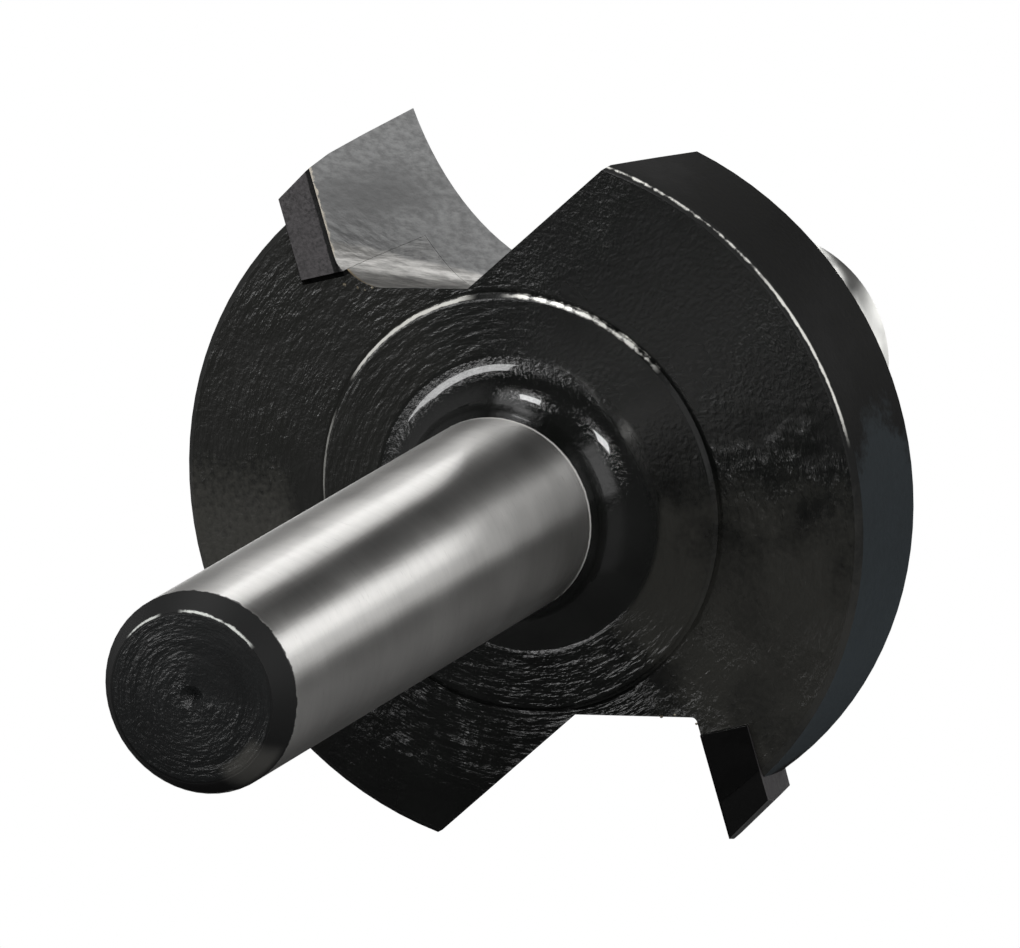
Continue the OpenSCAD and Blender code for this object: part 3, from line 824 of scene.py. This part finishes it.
@dataclass(frozen=True)
class SinteredCarbide(Finish):
    """Carbide as it was sintered: matt, dark and faintly purple, with a black line along the edge of the rake face."""

    black_edge_line: Colour = (0.004, 0.004, 0.004)

    def surface(self, tree: Tree, place: dict) -> dict:
        """Draws the grain, a few light rubs and the black line along the rake face's edge."""
        spots = tree.group(Mottle, Point=place["Point"], Patch_Size=1.5, Speck_Size=0.18)
        dark, light = shades(self.colour, 0.5, 1.4)
        tone = tree.mix(tree.step(spots["Specks"], 0.3, 0.7), dark, light)
        tone = tree.mix(tree.times(spots["Patches"], 0.35), tone, light)
        off = tree.parts(tree.group(GulletSpace, Point=place["Point"])["Section"])[1]
        jagged = tree.times(tree.minus(tree.noise(place["Point"], 1.7, 4.0, 0.7), 0.5), 0.35)
        # Black line along the rake face's edge.
        black_edge_line = tree.band(tree.plus(off, jagged), -0.22, 0.3, 0.05)
        return {
            "Base Color": tree.mix(black_edge_line, tone, self.black_edge_line),
            "Roughness": tree.blend(spots["Patches"], self.roughness - 0.08, self.roughness + 0.08),
            "Normal": self.bump(tree, spots["Specks"], 0.06),
        }


@dataclass(frozen=True)
class TurnedSteel(Finish):
    """Bare turned or polished steel, with marks round the axis on its faces and its outside."""

    pitch: float = 6.0
    depth: float = 0.006

    def surface(self, tree: Tree, place: dict) -> dict:
        """Draws marks that are rings on a flat face and hoops on an outside."""
        across = tree.plus(place["Radius"], place["Station"])
        rings = tree.group(TurnedRings, Round=place["Round"], Across=across, Pitch=self.pitch, Breakup=2.0)
        spots = tree.group(Mottle, Point=place["Point"], Patch_Size=2.4, Speck_Size=0.2)
        dark, light = shades(self.colour, 0.88, 1.08)
        tone = tree.mix(tree.blend(0.4, rings["Tone"], spots["Patches"]), dark, light)
        return {
            "Base Color": tone,
            "Roughness": tree.blend(spots["Patches"], self.roughness * 0.8, self.roughness * 1.25),
            "Normal": self.bump(tree, rings["Height"], self.depth),
        }


@dataclass(frozen=True)
class BlackOxide(Finish):
    """Black oxide of a hardened screw, oily and rubbed bright on its corners."""

    rubbed: Colour = (0.3, 0.3, 0.3)

    def surface(self, tree: Tree, place: dict) -> dict:
        """Rubs the head's outer corner and mottles the rest."""
        spots = tree.group(Mottle, Point=place["Point"], Patch_Size=1.4, Speck_Size=0.16)
        wear = tree.group(
            EdgeWearAndHighlight,
            Point=place["Point"],
            Distance=tree.minus(place["Radius"], SIZES.screw_head_r - 0.05),
            Width=0.22,
            Cover=-0.12,
        )
        dark, light = shades(self.colour, 0.7, 1.6)
        tone = tree.mix(spots["Patches"], dark, light)
        return {
            "Base Color": tree.mix(wear["Wear And Highlight"], tone, self.rubbed),
            "Metallic": tree.times(wear["Wear And Highlight"], 0.8),
            "Roughness": tree.blend(spots["Specks"], self.roughness - 0.08, self.roughness + 0.1),
            "Normal": self.bump(tree, spots["Specks"], 0.012),
        }


@dataclass(frozen=True)
class Braze(Finish):
    """Silver braze, drawn into smooth drops and dulled by heat."""

    scorched: Colour = (0.2, 0.16, 0.11)

    def surface(self, tree: Tree, place: dict) -> dict:
        """Dulls the braze in patches."""
        spots = tree.group(Mottle, Point=place["Point"], Patch_Size=0.5, Speck_Size=0.12)
        return {
            "Base Color": tree.mix(spots["Patches"], self.colour, self.scorched),
            "Roughness": tree.blend(spots["Patches"], self.roughness, self.roughness + 0.3),
            "Normal": self.bump(tree, spots["Specks"], 0.02),
        }


HEAD_PAINT = HeadPaint("head_paint", (0.004, 0.0044, 0.004), 0.24, 0.0, 0.42)
RIM_PAINT = RimPaint("rim_paint", (0.006, 0.006, 0.0056), 0.55, 0.0, 0.1)
END_PAINT = EndPaint("end_paint", (0.0075, 0.0082, 0.0083), 0.3, 0.0, 0.5)
GROUND_SHANK = GroundShank("ground_shank", (0.72, 0.71, 0.69), 0.36, 1.0, 0.5, 0.9)
GULLET_STEEL = GulletSteel("gullet_steel", (0.34, 0.34, 0.337), 0.4, 1.0)
GROUND_CARBIDE = GroundCarbide("ground_carbide", (0.345, 0.347, 0.347), 0.42, 1.0)
SINTERED_CARBIDE = SinteredCarbide("sintered_carbide", (0.056, 0.052, 0.054), 0.6, 0.0, 0.4)
BEARING_STEEL = TurnedSteel("polished_ring", (0.92, 0.92, 0.89), 0.47, 1.0, 0.5, 5.0, 0.003)
BALL_STEEL = TurnedSteel("polished_ball", (0.78, 0.78, 0.78), 0.07, 1.0, 0.5, 2.0, 0.0006)
SHIELD_SHEET = TurnedSteel("pressed_shield", (0.56, 0.56, 0.55), 0.3, 1.0, 0.5, 7.0, 0.008)
CAGE_SHEET = TurnedSteel("pressed_cage", (0.5, 0.49, 0.46), 0.34, 1.0, 0.5, 6.0, 0.008)
WASHER_STEEL = TurnedSteel("turned_washer", (0.6, 0.59, 0.57), 0.28, 1.0, 0.5, 8.0, 0.01)
PILOT_STEEL = TurnedSteel("pilot_steel", (0.5, 0.49, 0.47), 0.3, 1.0, 0.5, 5.0, 0.02)
SCREW_BLACK = BlackOxide("screw_black", (0.016, 0.016, 0.017), 0.34)
BRAZE = Braze("braze", (0.62, 0.57, 0.45), 0.3, 1.0)
# Near-black matt for the body's faces in the gaps beside the tips: painted shade in the slots.
SEAT_SHADE = Braze("seat_painted_shade", (0.003, 0.003, 0.003), 0.6, 0.0, 0.1, 0.0, (0.002, 0.002, 0.002))
# Darker black with less gloss for the first tip's end.
TIP_END_BLACK = HeadPaint("tip_end_black", (0.003, 0.003, 0.003), 0.4, 0.0, 0.2, ripple=0.0)


# Sub-assemblies


class Body(Enum):
    """The body of the record that the added pieces ride on."""

    CUTTER = "cutter"


class BodyZone(Enum):
    """Zones of the one-piece body, each with its finish."""

    PAINTED = HEAD_PAINT
    RIM = RIM_PAINT
    SHANK_END = END_PAINT
    SHANK = GROUND_SHANK
    GULLET = GULLET_STEEL
    SEAT = SEAT_SHADE
    PILOT = PILOT_STEEL


def dress(node: Piece, *finishes: Finish) -> None:
    """Gives a CAD node its materials in the order of its zones and reports it."""
    node.data.materials.clear()
    for finish in finishes:
        node.data.materials.append(finish.material())
    LOG.info("dressed %s with %s", node.name, ", ".join(finish.name for finish in finishes))


@dataclass
class CutterBody:
    """The one-piece shank, head and pilot."""

    node: str = "cutter_body"
    joints: dict[str, float] = field(default_factory=lambda: {"carbide_tip_1": 0.24, "carbide_tip_2": 0.3})
    reach: float = 0.04

    def dress(self, nodes: dict[str, Piece]) -> None:
        """Sorts the faces of the body into zones and gives each its finish."""
        body = nodes[self.node]
        zones = list(BodyZone)
        dress(body, *(zone.value for zone in zones))
        back = POSE.rotation().transposed()
        skins = [(self.skin(nodes[tip]), joint * MM) for tip, joint in self.joints.items()]
        for face in body.data.polygons:
            point, normal = POSE.to_tool(face.center), back @ face.normal
            zone = self.zone(point, normal)
            outside = point.z > SIZES.front_z + 1 and abs(point.x * normal.y - point.y * normal.x) < 1
            near = any(skin.find_nearest(face.center, joint)[0] for skin, joint in skins)
            # Body faces in the narrow gaps beside the tips turn near-black: painted shade.
            if zone is BodyZone.PAINTED and near and not outside:
                zone = BodyZone.SEAT
            face.material_index = zones.index(zone)

    @staticmethod
    def skin(node: Piece) -> BVHTree:
        """Search tree over a node's faces."""
        mesh = node.data
        return BVHTree.FromPolygons([vert.co for vert in mesh.vertices], [face.vertices for face in mesh.polygons])

    def zone(self, point: Vector, normal: Vector) -> BodyZone:
        """Zone of a face.

        Args:
            point: Middle of the face in the tool's frame.
            normal: Its normal there.

        Returns:
            The zone.
        """
        radius = math.hypot(point.x, point.y)
        if point.z < SIZES.shank_chamfer_l + self.reach and (abs(normal.z) > 0.3 or radius < 2):
            return BodyZone.SHANK_END
        if radius < SIZES.shank_r + self.reach and point.z < SIZES.cove_z + self.reach and abs(normal.z) < 0.1:
            return BodyZone.SHANK
        if point.z > SIZES.neck_z and radius < SIZES.collar_r + self.reach:
            return BodyZone.PILOT
        if any(self.is_ground(flute, point) for flute in Flute):
            return BodyZone.GULLET
        if radius > SIZES.body_r - 0.1 and abs(normal.z) < 0.3:
            return BodyZone.RIM
        return BodyZone.PAINTED

    def is_ground(self, flute: Flute, point: Vector) -> bool:
        """Whether a face lies on a gullet's rake face, floor or the round corner between them."""
        place = SIZES.in_section(flute.turn.transposed() @ point)
        run = SIZES.floor_run()
        if place.x > -0.5 and abs(place.y) < self.reach and point.z > SIZES.front_z - 0.1:
            return True
        if -0.5 < place.y < 12 and abs(place.x + place.y * math.tan(run)) < self.reach and point.z > SIZES.front_z:
            return True
        half = (math.pi / 2 + run) / 2
        centre = Vector((math.cos(half), math.sin(half))) * flute.corner_r / math.sin(half)
        off = math.hypot(place.x - centre.x, place.y - centre.y)
        return abs(off - flute.corner_r) < 0.1 and point.z > SIZES.front_z


@dataclass
class CarbideTips:
    """The two brazed tips."""

    nodes: dict[str, Flute] = field(
        default_factory=lambda: {"carbide_tip_1": Flute.FIRST, "carbide_tip_2": Flute.SECOND}
    )
    end_z: float = SIZES.front_z - SIZES.carbide_proud

    def dress(self, nodes: dict[str, Piece]) -> None:
        """Leaves the second tip's front end and both backs sintered, makes the first's end a darker black than the
        head, and grinds the rest.
        """
        back = POSE.rotation().transposed()
        for name, flute in self.nodes.items():
            tip = nodes[name]
            end = TIP_END_BLACK if flute is Flute.FIRST else SINTERED_CARBIDE
            dress(tip, GROUND_CARBIDE, SINTERED_CARBIDE, end)
            for face in tip.data.polygons:
                point = POSE.to_tool(face.center)
                off = SIZES.in_section(flute.turn.transposed() @ point).y
                normal = flute.turn.transposed() @ (back @ face.normal)
                front = point.z < self.end_z + 0.02 or (point.z < self.end_z + 0.2 and off > -0.3 and normal.z < -0.2)
                front = front or (normal.x < -0.6 and off < -0.05)
                behind = off < 0.05 - flute.tip_thickness
                face.material_index = 2 if front else int(behind)


@dataclass
class GuideBearing:
    """The ball bearing that guides the cut, with its rings, cage, balls and shields."""

    finishes: dict[str, Finish] = field(
        default_factory=lambda: {
            "bearing_inner_ring": BEARING_STEEL,
            "bearing_outer_ring": BEARING_STEEL,
            "cage_front": CAGE_SHEET,
            "cage_back": CAGE_SHEET,
            "cage_rivets": CAGE_SHEET,
            "shield_front": SHIELD_SHEET,
            "shield_back": SHIELD_SHEET,
        }
    )
    balls: int = 8

    def dress(self, nodes: dict[str, Piece]) -> None:
        """Gives every piece of the bearing its finish."""
        for name, finish in self.finishes.items():
            dress(nodes[name], finish)
        for number in range(1, self.balls + 1):
            dress(nodes[f"ball_{number}"], BALL_STEEL)


def loft(name: str, loops: list[list[Vector]], finish: Finish, closed: bool = True) -> Piece:
    """Builds a skin through loops of points.

    Args:
        name: Name of the piece.
        loops: Loops with the same number of points each, in the tool's frame.
        finish: The piece's finish.
        closed: Whether the first and last loops are filled with a fan.

    Returns:
        The piece, in the row frame, with smooth faces.
    """
    mesh = bmesh.new()
    rings = [[mesh.verts.new(POSE.to_row(point)) for point in loop] for loop in loops]
    count = len(loops[0])
    for lower, upper in zip(rings, rings[1:]):
        for i in range(count):
            j = (i + 1) % count
            mesh.faces.new((lower[i], lower[j], upper[j], upper[i]))
    if closed:
        for ring, points in ((rings[0], loops[0]), (rings[-1], loops[-1])):
            middle = sum(points, Vector()) / count
            hub = mesh.verts.new(POSE.to_row(middle))
            for i in range(count):
                mesh.faces.new((ring[i], ring[(i + 1) % count], hub))
    bmesh.ops.recalc_face_normals(mesh, faces=mesh.faces)
    return finished(name, mesh, finish)


def finished(name: str, mesh: bmesh.types.BMesh, finish: Finish, sharp: float = 32.0) -> Piece:
    """Makes a mesh a piece of the scene, smooth except across its sharper edges."""
    for edge in mesh.edges:
        edge.smooth = edge.calc_face_angle(0.0) < math.radians(sharp)
    for face in mesh.faces:
        face.smooth = True
    data = bpy.data.meshes.new(name)
    mesh.to_mesh(data)
    mesh.free()
    data.materials.append(finish.material())
    piece = bpy.data.objects.new(name, data)
    bpy.context.scene.collection.objects.link(piece)
    LOG.info("built %s with %d faces", name, len(data.polygons))
    return piece


@dataclass
class PilotHardware:
    """What clamps the bearing on the pilot: spacer, washer and a socket screw with a knurled head."""

    ridges: int = 54
    knurl: float = 0.1
    steps: int = 432
    thread_pitch: float = 0.7

    def dress(self, nodes: dict[str, Piece]) -> None:
        """Gives the two washers their finish."""
        dress(nodes["spacer_washer"], WASHER_STEEL)
        dress(nodes["retaining_washer"], WASHER_STEEL)

    def screw(self) -> Piece:
        """Builds the screw that stands for the plain one: threaded shank, knurled head, socket."""
        top = SIZES.head_z + SIZES.screw_head_h
        head, edge = SIZES.screw_head_r, SIZES.screw_edge
        loops = [self.ring(SIZES.head_z - SIZES.screw_l + 0.02, SIZES.screw_r - 0.5)]
        turns = int((SIZES.screw_l - 0.8) / self.thread_pitch) * 4
        for i in range(turns):
            z = SIZES.head_z - SIZES.screw_l + 0.3 + i * self.thread_pitch / 4
            loops.append(self.ring(z, SIZES.screw_r - (0.02, 0.2, 0.38, 0.2)[i % 4]))
        loops += [self.ring(SIZES.head_z, SIZES.screw_r - 0.02), self.ring(SIZES.head_z, head - 0.25)]
        loops.append(self.ring(SIZES.head_z + 0.2, head - 0.02))
        for z, depth in ((0.35, 0.0), (0.5, 1.0), (2.9, 1.0), (3.2, 0.6), (3.45, 0.0)):
            loops.append(self.ring(SIZES.head_z + z, head, depth * self.knurl))
        for i in range(1, 5):
            turn = i * math.pi / 8
            loops.append(self.ring(top - edge * (1.06 - math.sin(turn)), head - edge * (1.06 - math.cos(turn))))
        loops.append(self.ring(top - 0.06 * edge, head - 0.9))
        loops += [self.hexagon(top - 0.06 * edge, 1.07), self.hexagon(top - 0.12, 1.0)]
        loops.append(self.hexagon(top - SIZES.hex_depth, 1.0))
        loops.append(self.ring(top - SIZES.hex_depth - 0.5, 0.2))
        screw = loft("socket_screw", loops, SCREW_BLACK)
        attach(screw, Body.CUTTER.value)
        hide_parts("retaining_screw")
        return screw

    def ring(self, z: float, radius: float, knurl: float = 0.0) -> list[Vector]:
        """Round loop at a station, with knurled ridges of a given depth."""
        loop = []
        for i in range(self.steps):
            turn = 2 * math.pi * i / self.steps
            r = radius - knurl * (0.5 - 0.5 * math.cos(self.ridges * turn)) ** 1.5
            loop.append(Vector((r * math.cos(turn), r * math.sin(turn), z)))
        return loop

    def hexagon(self, z: float, size: float) -> list[Vector]:
        """Loop round the socket at a station, as a multiple of its width across the flats."""
        loop = []
        for i in range(self.steps):
            turn = 2 * math.pi * i / self.steps
            r = size * SIZES.hex_w / 2 / math.cos((turn + math.pi / 6) % (math.pi / 3) - math.pi / 6)
            loop.append(Vector((r * math.cos(turn), r * math.sin(turn), z)))
        return loop


@dataclass
class BrazeWork:
    """Drops of braze that ran out at the corner of each gullet."""

    drops: int = 4
    seed: int = 7

    def build(self) -> list[Piece]:
        """Builds the drops of both flutes."""
        return [self.spatter(flute, number) for number, flute in enumerate(Flute, 1)]

    def spatter(self, flute: Flute, number: int) -> Piece:
        """Builds the drops of one flute along the front edge of its gullet.

        Args:
            flute: The flute.
            number: Number for the piece's name.

        Returns:
            The piece, which rides on the cutter.
        """
        dice = random.Random(self.seed + number)
        lean = math.radians(SIZES.floor_lean)
        corner = Vector((SIZES.gullet_root, -SIZES.rake_y, SIZES.front_z))
        along = Vector((-math.sin(lean), math.cos(lean), 0))
        out = Vector((-math.cos(lean), -math.sin(lean), 0))
        mesh = bmesh.new()
        for _ in range(self.drops):
            size = dice.uniform(0.06, 0.11)
            way = dice.uniform(-0.3, 2.4)
            middle = corner + along * way + out * (size + dice.uniform(0.0, 0.35) - 0.1)
            if way < 0.4:
                middle += Vector((dice.uniform(0.2, 1.1), -0.25, 0))
            self.drop(mesh, flute, middle, size, dice)
        piece = finished(f"braze_spatter_{number}", mesh, BRAZE, 180.0)
        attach(piece, Body.CUTTER.value)
        return piece

    def drop(
        self, mesh: bmesh.types.BMesh, flute: Flute, middle: Vector, size: float, dice: random.Random
    ) -> None:
        """Adds one flattened, uneven drop that sits in the front face.

        Args:
            mesh: Mesh that takes the drop.
            flute: The flute.
            middle: Middle of the drop, in the first flute's place.
            size: Radius before it is flattened.
            dice: Source of the random draws.
        """
        made = bmesh.ops.create_icosphere(mesh, subdivisions=3, radius=size)
        stretch = Vector((dice.uniform(0.8, 1.5), dice.uniform(0.7, 1.3), dice.uniform(0.5, 0.8)))
        phase = dice.uniform(0, 6)
        for vert in made["verts"]:
            place = Vector((vert.co.x * stretch.x, vert.co.y * stretch.y, vert.co.z * stretch.z))
            wave = 1 + 0.18 * math.sin(9 * place.x / size + phase) * math.cos(7 * place.y / size - phase)
            vert.co = POSE.to_row(flute.turn @ (middle + place * wave))


# Studio


@dataclass(frozen=True)
class Softbox:
    """A lamp by where it stands, as seen from the tool, and how large and bright it looks."""

    name: str
    azimuth: float
    elevation: float
    width: float
    height: float
    radiance: float
    tint: Colour = (1.0, 1.0, 1.0)
    distance: float = 1.3

    def place(self, target: Vector) -> None:
        """Hangs the lamp and points it at the target."""
        az, el = math.radians(self.azimuth), math.radians(self.elevation)
        way = Vector((math.sin(az) * math.cos(el), math.cos(az) * math.cos(el), math.sin(el)))
        light = bpy.data.lights.new(self.name, "AREA")
        light.shape = "RECTANGLE"
        light.size = 2 * self.distance * math.tan(math.radians(self.width / 2))
        light.size_y = 2 * self.distance * math.tan(math.radians(self.height / 2))
        light.energy = math.pi * light.size * light.size_y * self.radiance
        light.color = self.tint
        lamp = bpy.data.objects.new(self.name, light)
        lamp.location = target + way * self.distance
        lamp.rotation_euler = (-way).to_track_quat("-Z", "Y").to_euler()
        bpy.context.scene.collection.objects.link(lamp)
        LOG.info("hung %s", self.name)


@dataclass
class Studio:
    """Floor, backdrop, lamps and camera; focal is the lens in pixels of the photo's width."""

    target: Vector = field(default_factory=lambda: Vector((0, 0, 0.023)))
    floor_r: float = 0.14
    flats: float = 0.035
    ambient: float = 0.5
    veil: float = 0.92
    focal: float = 19976.0
    lamps: tuple[Softbox, ...] = (
        Softbox("front_right_box", 146, 10, 11, 13, 14.0),
        Softbox("front_top_box", -170, 55, 15, 12, 12.0),
        Softbox("front_left_box", -146, -7, 22, 13, 8.0),
        Softbox("back_left_box", -51, 24, 18, 12, 2.4),
        Softbox("back_top_box", -8, 54, 14, 9, 5.0),
        Softbox("back_right_box", 40, 29, 9, 12, 4.0),
    )

    def build(self) -> None:
        """Sets up the whole studio."""
        self.world()
        self.floor()
        for lamp in self.lamps:
            lamp.place(self.target)
        self.camera()
        bpy.context.scene.view_settings.view_transform = "Standard"

    def world(self) -> None:
        """A white backdrop to camera and transmission rays; glossy rays see a dark room with brighter gaps instead."""
        world = bpy.data.worlds.new("studio_room")
        world.use_nodes = True
        bpy.context.scene.world = world
        tree = Tree(world.node_tree)
        ground = world.node_tree.nodes["Background"]
        rays = tree.node("LightPath").outputs
        way = tree.node("TexCoord").outputs["Generated"]
        axis = POSE.rotation() @ Vector((0, 0, 1))
        high = (Vector((0, 0, 1)) - axis * axis.z).normalized()
        along, up, left = (
            tree.node("VectorMath", {"operation": "DOT_PRODUCT"}, {0: way, 1: line}).outputs["Value"]
            for line in (axis, high, high.cross(axis))
        )
        turn = tree.times(tree.math("ARCTAN2", left, up), 180 / math.pi)
        lean = tree.times(tree.math("ARCCOSINE", along), 180 / math.pi)
        gaps = (
            (tree.band(turn, -92, -50, 4), tree.step(lean, 128, 112, self.flats, 0.85)),
            (tree.band(turn, 3, 27, 4), tree.step(lean, 128, 112, self.flats, 0.85)),
            (tree.band(turn, 36, 100, 7), tree.step(lean, 140, 110, self.flats, 0.2)),
            (tree.band(turn, -150, -100, 8), tree.step(lean, 140, 110, self.flats, 0.13)),
        )
        room = tree.step(turn, -180, 180, self.flats, self.flats)
        room = tree.most(room, *(tree.times(side, reach) for side, reach in gaps))
        shown = tree.most(rays["Is Camera Ray"], rays["Is Transmission Ray"])
        strength = tree.blend(rays["Is Glossy Ray"], self.ambient, room)
        strength = tree.blend(shown, strength, 1.0)
        tree.feed(ground.inputs["Color"], (1.0, 1.0, 1.0))
        tree.feed(ground.inputs["Strength"], strength)

    def floor(self) -> None:
        """A pale round table that melts into the backdrop, clear from below and mostly clear to glossy rays."""
        mesh = bmesh.new()
        bmesh.ops.create_circle(mesh, cap_ends=True, segments=128, radius=self.floor_r)
        data = bpy.data.meshes.new("studio_table")
        mesh.to_mesh(data)
        mesh.free()
        table = bpy.data.objects.new("studio_table", data)
        bpy.context.scene.collection.objects.link(table)
        material = bpy.data.materials.new("pale_table")
        material.use_nodes = True
        tree = Tree(material.node_tree)
        shader = material.node_tree.nodes["Principled BSDF"]
        out = material.node_tree.nodes["Material Output"]
        tree.feed(shader.inputs["Base Color"], (0.86, 0.86, 0.86))
        shader.inputs["Roughness"].default_value = 0.9
        shader.inputs["Specular IOR Level"].default_value = 0.0
        place = tree.node("TexCoord").outputs["Object"]
        radius = tree.node("VectorMath", {"operation": "LENGTH"}, {0: place}).outputs["Value"]
        fade = tree.step(radius, self.floor_r * 0.4, self.floor_r * 0.98)
        below = tree.node("NewGeometry").outputs["Backfacing"]
        clear = tree.node("BsdfTransparent").outputs[0]
        veil = tree.times(tree.node("LightPath").outputs["Is Glossy Ray"], self.veil)
        hidden = tree.most(fade, below, veil)
        mixed = tree.node("MixShader", None, {0: hidden, 1: shader.outputs[0], 2: clear})
        tree.feed(out.inputs["Surface"], mixed.outputs[0])
        data.materials.append(material)
        LOG.info("laid the table")

    def camera(self) -> None:
        """The camera at the photograph's angle, with its long lens and frame."""
        right = Vector((0.915816313856421, 0.3994424546699039, 0.04154761944707774))
        down = Vector((0.017156039909826615, 0.06444817066043283, -0.9977735733086622))
        ahead = Vector((-0.4012307933958334, 0.9144901085882807, 0.05216983539503111))
        place = Vector((0.5028940523, -1.1459314513, -0.0431245784))
        turn = Matrix((right, -down, -ahead)).transposed().to_4x4()
        lens = bpy.data.cameras.new("camera")
        lens.sensor_width = 36.0
        lens.lens = 36.0 * self.focal / 1020.0
        lens.clip_start = 0.05
        lens.clip_end = 20.0
        camera = bpy.data.objects.new("camera", lens)
        camera.matrix_world = Matrix.Translation(place) @ turn
        bpy.context.scene.collection.objects.link(camera)
        bpy.context.scene.camera = camera
        LOG.info("set the camera")


def main() -> None:
    """Loads the frame, builds and dresses each sub-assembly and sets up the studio."""
    logging.basicConfig(level=logging.INFO, format="%(name)s: %(message)s")
    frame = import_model()
    nodes = frame["nodes"]
    CutterBody().dress(nodes)
    CarbideTips().dress(nodes)
    GuideBearing().dress(nodes)
    hardware = PilotHardware()
    hardware.dress(nodes)
    hardware.screw()
    BrazeWork().build()
    Studio().build()
    bpy.context.view_layer.update()


if __name__ == "__main__":
    main()
